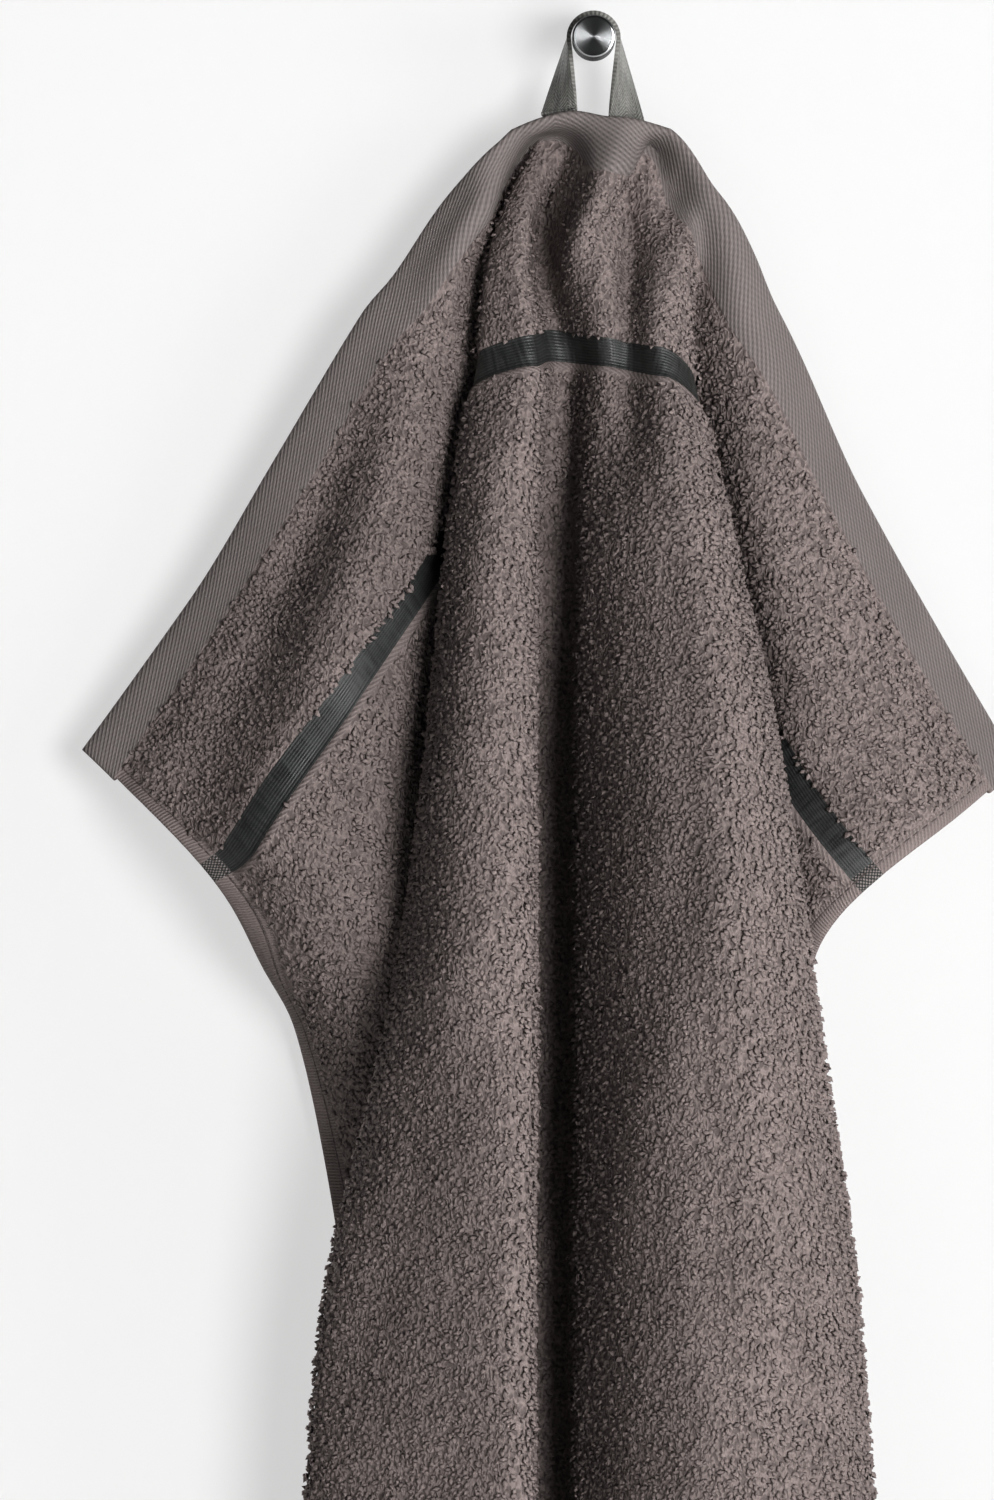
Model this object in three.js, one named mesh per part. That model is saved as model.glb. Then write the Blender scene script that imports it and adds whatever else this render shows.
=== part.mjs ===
// Terry hand towel hanging by its sewn tape loop from a plain round wall peg.
// Millimetres, +Z up. The origin is the centre of the peg's back end, on the wall:
// the wall is the plane y = 0, and the room and the towel are on the -Y side of it.
import * as THREE from 'three';

// Towel, measured flat from the line that hangs under the peg
const LEFT_HALF = 255;
const RIGHT_HALF = 245;
const LENGTH = 700;
const TERRY_THICK = 5;
const WOVEN_THICK = 2.6;
const SQUEEZED_THICK = 2.8;
const SQUEEZED_REACH = 55;
const OPEN_REACH = 110;
const TOP_HEM = 16.5;
const BOTTOM_HEM = 16.5;
const SIDE_HEM = 8;
const STRIPE_TOP = 65.5;
const STRIPE_BOTTOM = 74.5;
const PILE_SLOPE = 1.5;

// Peg
const PEG_RADIUS = 6.5;
const PEG_LENGTH = 42;
const PEG_CHAMFER = 0.7;
const PEG_SIDES = 48;

// Loop tape: the ends are sewn to the back of the top hem, left and right of the middle
const TAPE_WIDTH = 10.8;
const TAPE_THICK = 1.4;
const TAPE_OUT = 23.5;
const SEWN_LENGTH = 12;
const LEFT_END = -10.5;
const RIGHT_END = 11;
const GAP = 0.3;
const SEWN_GAP = 0.35;

// The hanging cloth is close to a cone. Its tip is a point above the top edge, RISE away in the flat cloth.
const TIP = new THREE.Vector3(0, -30, -11.7);
const RISE = 12;
const FLAT_REACH = 10;
const MIDDLE_SHIFT = 4;

// Where each fold line runs: at each reach (distance from the tip), how far it is to the side of the peg
// and how far out from the wall, from the left edge to the right.
const REACH = [28, 50, 90, 150, 200, 256, 300, 360, 440, 740];
const FOLDS = [
  { name: 'left edge',
    side: [-23.5, -39.5, -63.5, -94.5, -120.5, -153, -84, -75, -68, -67],
    out: [28, 27, 23, 20, 17, 14, 12, 14, 15, 16] },
  { name: 'left wing',
    side: [-20.5, -35, -50, -69.5, -85, -103, -72, -52, -46, -48],
    out: [28, 31, 34, 43, 54, 56, 42, 16, 15, 16] },
  { name: 'left tuck, back',
    side: [-17.5, -32, -33.5, -35, -37.5, -24, -35.5, -30, -32.5, -35],
    out: [26.5, 25, 17, 12, 11, 10, 10, 11, 13, 15] },
  { name: 'left tuck, front',
    side: [-15, -27, -25.5, -27, -29.5, -17, -28.5, -23, -25.5, -29],
    out: [26, 24.5, 21, 18, 17, 16, 16, 18, 21, 24] },
  { name: 'left brow',
    side: [-13, -25.5, -34, -43, -49, -56, -62, -77, -85, -92],
    out: [26, 31, 37, 46, 50, 53, 54, 52, 50, 48] },
  { name: 'left crest',
    side: [-10.5, -21.5, -24, -32, -37, -41, -44, -48, -52, -56],
    out: [26, 37, 48, 70, 88, 102, 102, 98, 93, 85] },
  { name: 'left lip',
    side: [-7.5, -15, -13, -15.5, -15.5, -15.5, -15.5, -16, -16, -17],
    out: [26, 32.5, 44, 60, 74, 86, 86, 81, 75, 67] },
  { name: 'middle valley, left',
    side: [-5, -11, -6.5, -13, -13.5, -14, -14.5, -15, -15, -16],
    out: [26, 24.5, 27, 27, 26, 26, 26, 27, 28, 29] },
  { name: 'middle valley, right',
    side: [-2, -5, -0.5, -2.5, -3, -3.5, -4, -4.2, -4.5, -5],
    out: [28, 25, 27, 26, 25, 25, 25, 26, 27, 28] },
  { name: 'right lip',
    side: [3, 6, 5, 1, 0, 0, 0, -0.2, -0.5, -1],
    out: [33.5, 38.5, 41, 50, 52, 54, 55, 55, 55, 52] },
  { name: 'right flank',
    side: [8.5, 13.5, 13, 13, 14, 16, 17, 18, 20, 22],
    out: [34.5, 34.5, 46, 68, 77, 84, 88, 87, 86, 78] },
  { name: 'right crest',
    side: [13.5, 22, 23, 30, 36, 40, 44, 48, 52, 56],
    out: [32, 39, 53, 78, 97, 110, 111, 108, 104, 94] },
  { name: 'right brow',
    side: [16.5, 28.5, 34, 45, 53, 60, 66, 75, 82, 88],
    out: [29.5, 33.5, 40, 56, 63, 72, 73, 70, 66, 60] },
  { name: 'right tuck, front',
    side: [19, 28.5, 19, 22, 18, 7, 20, 26, 29, 31],
    out: [28.5, 27.5, 22, 18, 17, 16, 16, 18, 21, 24] },
  { name: 'right tuck, back',
    side: [21, 31.5, 26, 30, 26, 15, 27, 33, 37, 39],
    out: [28, 26, 17, 12, 11, 10, 10, 11, 13, 15] },
  { name: 'right wing',
    side: [23.5, 36, 46, 65, 82, 97, 96, 46, 44, 47],
    out: [28.5, 29, 30, 34, 38, 49, 46, 13, 14, 15] },
  { name: 'right edge',
    side: [25, 40, 56, 81.5, 106, 134, 126, 62, 56, 58],
    out: [28.5, 26, 22, 18, 15, 12, 15, 13, 14, 15] },
];
const MIDDLE_LINE = FOLDS.findIndex((fold) => fold.name === 'middle valley, left');

// How finely the drape is worked out and meshed
const STEPS_PER_FOLD = 16;
const SAMPLE_STEP = 1;
const LINES_PER_FOLD = 4;
const LONGEST_EDGE = 24;
const NORMAL_STEP = 0.5;
const BANDS = [
  { from: 0, to: TOP_HEM, rows: 3, growth: 1 },
  { from: TOP_HEM + PILE_SLOPE, to: STRIPE_TOP - PILE_SLOPE, rows: 8, growth: 1.2 },
  { from: STRIPE_TOP, to: STRIPE_BOTTOM, rows: 2, growth: 1 },
  { from: STRIPE_BOTTOM + PILE_SLOPE, to: LENGTH - BOTTOM_HEM - PILE_SLOPE, rows: 19, growth: 1.35 },
  { from: LENGTH - BOTTOM_HEM, to: LENGTH, rows: 2, growth: 1 },
];

// A cubic from one knot to the next, with the slopes at its two ends
function cubic(t, span, start, end, startSlope, endSlope) {
  const t2 = t * t;
  const t3 = t2 * t;
  return (2 * t3 - 3 * t2 + 1) * start + (t3 - 2 * t2 + t) * span * startSlope
    + (3 * t2 - 2 * t3) * end + (t3 - t2) * span * endSlope;
}

// Slope at each knot of a smooth curve, as a parabola through three knots gives it
function roundSlopes(knots, values) {
  const rise = values.slice(1).map((value, k) => (value - values[k]) / (knots[k + 1] - knots[k]));
  return values.map((value, k) => {
    if (k === 0) return rise[0];
    if (k === values.length - 1) return rise[k - 1];
    const share = (knots[k] - knots[k - 1]) / (knots[k + 1] - knots[k - 1]);
    return rise[k - 1] * (1 - share) + rise[k] * share;
  });
}

// Slope at each knot of a curve that never swings past its knots
function steadySlopes(knots, values) {
  const rise = values.slice(1).map((value, k) => (value - values[k]) / (knots[k + 1] - knots[k]));
  return values.map((value, k) => {
    if (k === 0) return rise[0];
    if (k === values.length - 1) return rise[k - 1];
    if (rise[k - 1] * rise[k] <= 0) return 0;
    const before = knots[k] - knots[k - 1];
    const after = knots[k + 1] - knots[k];
    const weightBefore = 2 * after + before;
    const weightAfter = after + 2 * before;
    return (weightBefore + weightAfter) / (weightBefore / rise[k - 1] + weightAfter / rise[k]);
  });
}

// One section across all the folds, on a sphere about the tip: directions from the tip as [side, out, down],
// with the angle in the flat cloth that the arc length gives each of them.
function foldSection(station) {
  const reach = REACH[station];
  const side = FOLDS.map((fold) => fold.side[station]);
  const out = FOLDS.map((fold) => fold.out[station] + TIP.y);
  const knots = [0];
  for (let k = 1; k < FOLDS.length; k += 1) {
    knots.push(knots[k - 1] + Math.sqrt(Math.hypot(side[k] - side[k - 1], out[k] - out[k - 1])));
  }
  const sideSlope = roundSlopes(knots, side);
  const outSlope = roundSlopes(knots, out);
  const samples = [];
  for (let step = 0; step <= (FOLDS.length - 1) * STEPS_PER_FOLD; step += 1) {
    const k = Math.min(Math.floor(step / STEPS_PER_FOLD), FOLDS.length - 2);
    const t = step / STEPS_PER_FOLD - k;
    const span = knots[k + 1] - knots[k];
    const x = cubic(t, span, side[k], side[k + 1], sideSlope[k], sideSlope[k + 1]) / reach;
    const y = cubic(t, span, out[k], out[k + 1], outSlope[k], outSlope[k + 1]) / reach;
    samples.push([x, y, Math.sqrt(1 - x * x - y * y)]);
  }
  const arc = [0];
  for (let k = 1; k < samples.length; k += 1) {
    const [a, b] = [samples[k - 1], samples[k]];
    arc.push(arc[k - 1] + Math.hypot(b[0] - a[0], b[1] - a[1], b[2] - a[2]));
  }
  const middle = (arc[MIDDLE_LINE * STEPS_PER_FOLD] + arc[(MIDDLE_LINE + 1) * STEPS_PER_FOLD]) / 2;
  return samples.map((sample, k) => [...sample, arc[k] - middle - MIDDLE_SHIFT / reach]);
}

// For each step across the folds, its direction and angle at every reach, ready for a cubic down the fold
const SECTIONS = REACH.map((reach, station) => foldSection(station));
const FOLD_RUNS = SECTIONS[0].map((first, step) => first.map((value, part) => {
  const values = SECTIONS.map((section) => section[step][part]);
  return { values, slopes: steadySlopes(REACH, values) };
}));
const ANGLE = 3;

// One part of a fold run's direction, or its angle, at a given reach
function runAt(step, part, reach) {
  const inside = THREE.MathUtils.clamp(reach, REACH[0], REACH[REACH.length - 1]);
  let k = 0;
  while (k < REACH.length - 2 && REACH[k + 1] < inside) k += 1;
  const { values, slopes } = FOLD_RUNS[step][part];
  const span = REACH[k + 1] - REACH[k];
  return cubic((inside - REACH[k]) / span, span, values[k], values[k + 1], slopes[k], slopes[k + 1]);
}

// Where a point of the flat cloth lies among the folds: u to the right of the middle, v down from the top edge
function locate(u, v) {
  const reach = Math.hypot(u, v + RISE);
  const angle = Math.atan2(u, v + RISE);
  let low = 0;
  let high = FOLD_RUNS.length - 1;
  while (high - low > 1) {
    const step = Math.floor((low + high) / 2);
    if (runAt(step, ANGLE, reach) <= angle) low = step;
    else high = step;
  }
  const lowAngle = runAt(low, ANGLE, reach);
  const share = (angle - lowAngle) / (runAt(high, ANGLE, reach) - lowAngle);
  return { reach, angle, low, share };
}

// The fold line, counted from the left edge, that a point of the flat cloth is on or past
function foldPlace(u, v) {
  const { low, share } = locate(u, v);
  return (low + share) / STEPS_PER_FOLD;
}

// Where a point of the flat cloth hangs
function drape(u, v) {
  const { reach, angle, low, share } = locate(u, v);
  const [side, out, down] = [0, 1, 2].map(
    (part) => THREE.MathUtils.lerp(runAt(low, part, reach), runAt(low + 1, part, reach), share));
  const folded = new THREE.Vector3(side, -out, -down).normalize();
  const flat = new THREE.Vector3(Math.sin(angle), 0, -Math.cos(angle));
  const foldedShare = THREE.MathUtils.smoothstep(reach, FLAT_REACH, REACH[0]);
  return flat.lerp(folded, foldedShare).setLength(reach).add(TIP);
}

// Direction of the cloth's front face at a point of the flat cloth
function frontNormal(u, v) {
  const across = drape(u + NORMAL_STEP, v).sub(drape(u - NORMAL_STEP, v));
  const down = drape(u, v + NORMAL_STEP).sub(drape(u, v - NORMAL_STEP));
  return down.cross(across).normalize();
}

// Thickness of the cloth: pile on both faces, squeezed in the tight folds at the top,
// and none on the hems and the stripe
function thickness(u, v) {
  const opened = THREE.MathUtils.smoothstep(Math.hypot(u, v + RISE), SQUEEZED_REACH, OPEN_REACH);
  const terry = THREE.MathUtils.lerp(SQUEEZED_THICK, TERRY_THICK, opened);
  const fromWoven = Math.min(
    v - TOP_HEM,
    LENGTH - BOTTOM_HEM - v,
    u + LEFT_HALF - SIDE_HEM,
    RIGHT_HALF - SIDE_HEM - u,
    Math.max(STRIPE_TOP - v, v - STRIPE_BOTTOM));
  const pile = THREE.MathUtils.clamp(fromWoven / PILE_SLOPE, 0, 1);
  return THREE.MathUtils.lerp(WOVEN_THICK, terry, pile);
}

// Distances down the cloth at which a row of points is laid
function rowPlaces() {
  return BANDS.flatMap(({ from, to, rows, growth }) => (
    Array.from({ length: rows + 1 }, (_, k) => from + (to - from) * (k / rows) ** growth)));
}

// Places across one row between the side hems: where it crosses the fold lines and the quarters between them,
// with more points where those are far apart
function innerPlaces(left, right, v) {
  const places = [left];
  const count = Math.round((right - left) / SAMPLE_STEP);
  let place = foldPlace(left, v);
  let line = Math.floor(place * LINES_PER_FOLD) + 1;
  for (let k = 1; k < count; k += 1) {
    const u = left + (right - left) * (k / count);
    const next = foldPlace(u, v);
    while (next * LINES_PER_FOLD >= line) {
      const share = (line / LINES_PER_FOLD - place) / (next - place);
      const crossing = u - (1 - THREE.MathUtils.clamp(share, 0, 1)) * SAMPLE_STEP;
      if (crossing - places[places.length - 1] > SAMPLE_STEP) places.push(crossing);
      line += 1;
    }
    place = Math.max(place, next);
    if (drape(u, v).distanceTo(drape(places[places.length - 1], v)) > LONGEST_EDGE) places.push(u);
  }
  return [...places.filter((u) => u < right - SAMPLE_STEP), right];
}

// Places across a whole row: both lines of each side hem, and the terry between them
function columnPlaces(v) {
  const left = -LEFT_HALF + SIDE_HEM + PILE_SLOPE;
  const right = RIGHT_HALF - SIDE_HEM - PILE_SLOPE;
  return [-LEFT_HALF, left - PILE_SLOPE, ...innerPlaces(left, right, v), right + PILE_SLOPE, RIGHT_HALF];
}
const SIDE_COLUMNS = 3;

// Triangles of the strip between an upper and a lower row. Along the hem the rows are joined straight down the
// cloth, and below it along the folds.
function stripTriangles(upper, lower) {
  const order = lower[0].v > TOP_HEM + PILE_SLOPE ? 'fold' : 'u';
  const triangles = [];
  let i = 0;
  let j = 0;
  const joinUpTo = (endUpper, endLower, alternate) => {
    while (i < endUpper || j < endLower) {
      const upperFirst = alternate ? i <= j : upper[i + 1]?.[order] < lower[j + 1]?.[order];
      const takeUpper = j === endLower || (i < endUpper && upperFirst);
      triangles.push([upper[i], lower[j], takeUpper ? upper[i + 1] : lower[j + 1]]);
      if (takeUpper) i += 1;
      else j += 1;
    }
  };
  joinUpTo(SIDE_COLUMNS - 1, SIDE_COLUMNS - 1, true);
  joinUpTo(upper.length - SIDE_COLUMNS, lower.length - SIDE_COLUMNS, false);
  joinUpTo(upper.length - 2, lower.length - 2, false);
  joinUpTo(upper.length - 1, lower.length - 1, false);
  return triangles;
}

// A solid from closed triangles of THREE.Vector3 corners
function solidGeometry(triangles) {
  const corners = triangles.flat().flatMap((corner) => corner.toArray());
  const geometry = new THREE.BufferGeometry();
  geometry.setAttribute('position', new THREE.Float32BufferAttribute(corners, 3));
  geometry.computeVertexNormals();
  return geometry;
}

// The towel: both faces stand off the draped middle surface by half the thickness, and a rim joins them
function towelGeometry() {
  const rows = rowPlaces().map((v) => columnPlaces(v).map((u) => {
    const middle = drape(u, v);
    const half = frontNormal(u, v).multiplyScalar(thickness(u, v) / 2);
    return { u, v, fold: foldPlace(u, v), front: middle.clone().add(half), back: middle.clone().sub(half) };
  }));
  const triangles = [];
  const rim = (from, to) => {
    triangles.push([from.front, to.front, to.back], [from.front, to.back, from.back]);
  };
  for (let r = 1; r < rows.length; r += 1) {
    const [upper, lower] = [rows[r - 1], rows[r]];
    stripTriangles(upper, lower).forEach(([a, b, c]) => {
      triangles.push([a.front, b.front, c.front], [a.back, c.back, b.back]);
    });
    rim(lower[0], upper[0]);
    rim(upper[upper.length - 1], lower[lower.length - 1]);
  }
  const [top, bottom] = [rows[0], rows[rows.length - 1]];
  for (let k = 1; k < top.length; k += 1) rim(top[k - 1], top[k]);
  for (let k = 1; k < bottom.length; k += 1) rim(bottom[k], bottom[k - 1]);
  return solidGeometry(triangles);
}

// A flat tape swept through its sections, each a centre and the direction from its front edge to its back edge
function tapeGeometry(sections) {
  const rings = sections.map(({ centre, across }, k) => {
    const before = sections[Math.max(k - 1, 0)].centre;
    const after = sections[Math.min(k + 1, sections.length - 1)].centre;
    const inward = across.clone().cross(after.clone().sub(before)).setLength(TAPE_THICK / 2);
    const half = across.clone().setLength(TAPE_WIDTH / 2);
    return [[-1, -1], [-1, 1], [1, 1], [1, -1]].map(([wide, thick]) => (
      centre.clone().addScaledVector(half, wide).addScaledVector(inward, thick)));
  });
  const triangles = [];
  const quad = (a, b, c, d) => triangles.push([a, b, c], [a, c, d]);
  for (let k = 1; k < rings.length; k += 1) {
    for (let side = 0; side < 4; side += 1) {
      const next = (side + 1) % 4;
      quad(rings[k - 1][side], rings[k - 1][next], rings[k][next], rings[k][side]);
    }
  }
  const [start, end] = [rings[0], rings[rings.length - 1]];
  quad(start[3], start[2], start[1], start[0]);
  quad(end[0], end[1], end[2], end[3]);
  return solidGeometry(triangles);
}

// The part of one leg that is sewn on, from its end up to the top edge: it lies flat against the back of the hem,
// clear of the hem's deepest point under it
function sewnSections(place, outward) {
  const steps = 8;
  const probes = [-0.2, 0, 0.25, 0.5, 0.75, 1, 1.2];
  return Array.from({ length: steps + 1 }, (_, k) => {
    const v = SEWN_LENGTH * (1 - k / steps);
    const hemAt = (share) => drape(place + outward * TAPE_WIDTH * (share - 0.5), v);
    const [front, back] = [hemAt(0), hemAt(1)];
    const middle = front.clone().lerp(back, 0.5);
    const rearward = frontNormal(place, v).negate();
    const bulge = Math.max(...probes.map((share) => hemAt(share).sub(middle).dot(rearward)));
    const stand = bulge + WOVEN_THICK / 2 + SEWN_GAP + TAPE_THICK / 2;
    return {
      centre: middle.addScaledVector(rearward, stand),
      across: back.clone().sub(front).normalize(),
    };
  });
}

// The free part of one leg, from the top edge to the peg: its front edge is straight, and the rest turns about it
// so that the leg's sides look straight from the front
function legSections(sewn, outward) {
  const steps = 8;
  const half = TAPE_WIDTH / 2;
  const around = PEG_RADIUS + GAP + TAPE_THICK / 2;
  const bottomAcross = sewn[sewn.length - 1].across;
  const bottomEdge = sewn[sewn.length - 1].centre.clone().addScaledVector(bottomAcross, -half);
  const topEdge = new THREE.Vector3(outward * around, -TAPE_OUT - half, 0);
  return Array.from({ length: steps }, (_, k) => {
    const share = (k + 1) / (steps + 1);
    const x = bottomAcross.x * (1 - share);
    const z = bottomAcross.z * (1 - share);
    const across = new THREE.Vector3(x, Math.sqrt(1 - x * x - z * z), z);
    const centre = bottomEdge.clone().lerp(topEdge, share).addScaledVector(across, half);
    return { centre, across };
  });
}

// The half turn over the peg, from its left side to its right
function overPeg() {
  const steps = 16;
  const around = PEG_RADIUS + GAP + TAPE_THICK / 2;
  return Array.from({ length: steps + 1 }, (_, k) => {
    const angle = Math.PI * (1 - k / steps);
    const centre = new THREE.Vector3(around * Math.cos(angle), -TAPE_OUT, around * Math.sin(angle));
    return { centre, across: new THREE.Vector3(0, 1, 0) };
  });
}

function loopGeometry() {
  const left = sewnSections(LEFT_END, -1);
  const right = sewnSections(RIGHT_END, 1);
  return tapeGeometry([
    ...left,
    ...legSections(left, -1),
    ...overPeg(),
    ...legSections(right, 1).reverse(),
    ...right.reverse(),
  ]);
}

// The peg is turned about its own axis, which points straight out of the wall
function pegGeometry() {
  const profile = [
    [0, 0],
    [PEG_RADIUS, 0],
    [PEG_RADIUS, PEG_LENGTH - PEG_CHAMFER],
    [PEG_RADIUS - PEG_CHAMFER, PEG_LENGTH],
    [0, PEG_LENGTH],
  ].map(([radius, along]) => new THREE.Vector2(radius, along));
  return new THREE.LatheGeometry(profile, PEG_SIDES).rotateX(Math.PI);
}

function part(name, geometry, colour, roughness, metalness) {
  const material = new THREE.MeshStandardMaterial({ color: colour, roughness, metalness });
  const mesh = new THREE.Mesh(geometry, material);
  mesh.name = name;
  return mesh;
}

const towelOnPeg = new THREE.Group();
towelOnPeg.add(
  part('towel', towelGeometry(), 0x6b6160, 0.95, 0),
  part('hanging_loop', loopGeometry(), 0x6f6d69, 0.85, 0),
  part('peg', pegGeometry(), 0xb4b4b2, 0.35, 1));

export default towelOnPeg;
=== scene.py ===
# Terry hand towel hanging by its sewn tape loop from a round wall peg.
# Sizes are in millimetres, as in the part's source. Places on the flat cloth are u, to the right of the
# line that hangs under the peg, and v, down from the top edge. Meshes are in metres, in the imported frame.
import math

import bmesh
import bpy
import numpy as np
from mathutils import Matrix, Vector


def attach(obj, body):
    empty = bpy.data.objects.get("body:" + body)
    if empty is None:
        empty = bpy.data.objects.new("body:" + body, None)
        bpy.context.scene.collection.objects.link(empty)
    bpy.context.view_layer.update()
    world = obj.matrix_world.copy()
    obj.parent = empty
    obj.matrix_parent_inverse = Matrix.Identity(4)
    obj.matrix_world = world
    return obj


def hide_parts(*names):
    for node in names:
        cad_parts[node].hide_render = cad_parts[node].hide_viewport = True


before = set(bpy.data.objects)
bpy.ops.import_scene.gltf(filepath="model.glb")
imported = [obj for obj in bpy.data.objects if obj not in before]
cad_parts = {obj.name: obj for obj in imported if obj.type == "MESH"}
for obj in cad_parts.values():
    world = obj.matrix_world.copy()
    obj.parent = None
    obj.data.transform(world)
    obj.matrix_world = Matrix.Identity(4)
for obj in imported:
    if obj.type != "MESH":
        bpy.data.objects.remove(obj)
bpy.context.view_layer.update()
chance = np.random.default_rng(11)
MM = 0.001
MERGED_WITHIN = 1e-6

# Towel, flat
LEFT_HALF = 255.0
RIGHT_HALF = 245.0
LENGTH = 700.0
TOP_HEM = 16.5
BOTTOM_HEM = 16.5
LOW_HEM = LENGTH - BOTTOM_HEM
SIDE_HEM = 6.0
SIDE_FOLD = 5.0
SIDE_STEP_IN = 1.0
HEM_STEP = 0.4
ON_LINE = 0.01
STRIPE_TOP = 65.5
STRIPE_BOTTOM = 74.5
STRIPE_RIM = 2.0
PILE_SLOPE = 1.5

# Half the thickness of the cloth, without its loops
HEM_HALF = 1.4
FOLD_HALF = 1.15
WOVEN_HALF = 0.8
STRIPE_HALF = 0.6
GROUND_HALF = 1.7
SQUEEZED_HALF = 1.2
SQUEEZED_REACH = 55.0
OPEN_REACH = 110.0
EDGE_ROUND = 1.3

# Lines of points in the towel's mesh: along a rounded edge, down the cloth, and across it
EDGE_LINES = EDGE_ROUND * np.array([0, 0.04, 0.15, 0.4])
ROW_STEP = 2.0
LOW_ROW_STEP = 5.5
COLUMN_STEP = 1.4
COLUMN_GROWTH = 3.1
COLUMNS_GROW = (30.0, 110.0)

# Terry loops. Lean and turn are a mean and a spread in radians, sizes and lengths the least and the most.
FRONT_PITCH = 1.8
BACK_PITCH = 2.75
FRONT_FULLNESS = 1.0
BACK_FULLNESS = 1.45
LOOP_LENGTH = 2.7
LOOP_RADIUS = 0.9
LOOP_SUNK = 0.3
LOOPS_A_PIECE = 33000
LOOP_JITTER = 0.38
LOOPS_FROM_HEM = 1.0
LOOPS_FROM_SIDE = 0.8
LOOPS_ABOVE_STRIPE = 0.6
LOOPS_BELOW_STRIPE = 1.9
LOOP_LEAN = (1.1, 0.2)
LOOP_TURN = (0.0, 1.0)
LOOP_SIZES = (0.75, 1.2)
LOOP_LENGTHS = (0.85, 1.2)
LOOP_WIDE = 1.1
LOOP_THICK = 0.9
LOOP_SQUEEZED = 0.8
LOOP_BELLY = 0.25
LOOP_SLANT = 0.3
# Each loop's colour value: painted shade that is deepest at its root and fades towards its tip, and a
# random spread from loop to loop.
SHADED_ROOT_TONE = 0.1
SHADE_FADE_TO_TIP = 0.75
TONE_SPREAD = 0.13

# Stitches along the side hems, in a groove
STITCH_PITCH = 3.4
STITCH_LENGTH = 2.7
STITCH_RADIUS = 0.28
STITCH_FLATTENED = 0.8
STITCH_FROM_EDGE = 4.4
STITCH_FROM_HEM = 3.0
STITCH_STAND = 0.12
STITCH_TONE = -0.9
GROOVE_STEP = 0.4
GROOVE_WIDTH = 0.35
GROOVE_DEPTH = 0.3

# Peg and loop tape
PEG_RADIUS = 6.5
PEG_LENGTH = 42.0
PEG_CHAMFER = 0.7
PEG_SIDES = 96
TAPE_WIDTH = 10.8
TAPE_THICK = 1.25
TAPE_SOLID_THICK = 1.4
TAPE_OUT = 23.5
SEWN_LENGTH = 12.0
LEFT_END = -10.5
RIGHT_END = 11.0
PEG_GAP = 0.3
SEWN_GAP = 1.2
TAPE_AROUND = PEG_RADIUS + PEG_GAP + TAPE_SOLID_THICK / 2
TAPE_ROUND = 0.25
TAPE_COLUMNS = 5
SEWN_ROWS = 9
SEWN_SHARES = np.array([-0.7, -0.5, -0.25, 0, 0.25, 0.5, 0.7])
LEG_ROWS = 24
PEG_ROWS = 41

# The hanging cloth is close to a cone. Its tip is a point above the top edge, RISE away in the flat cloth.
TIP = np.array([0.0, -30.0, -11.7])
RISE = 12.0
FLAT_REACH = 10.0
MIDDLE_SHIFT = 4.0

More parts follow.
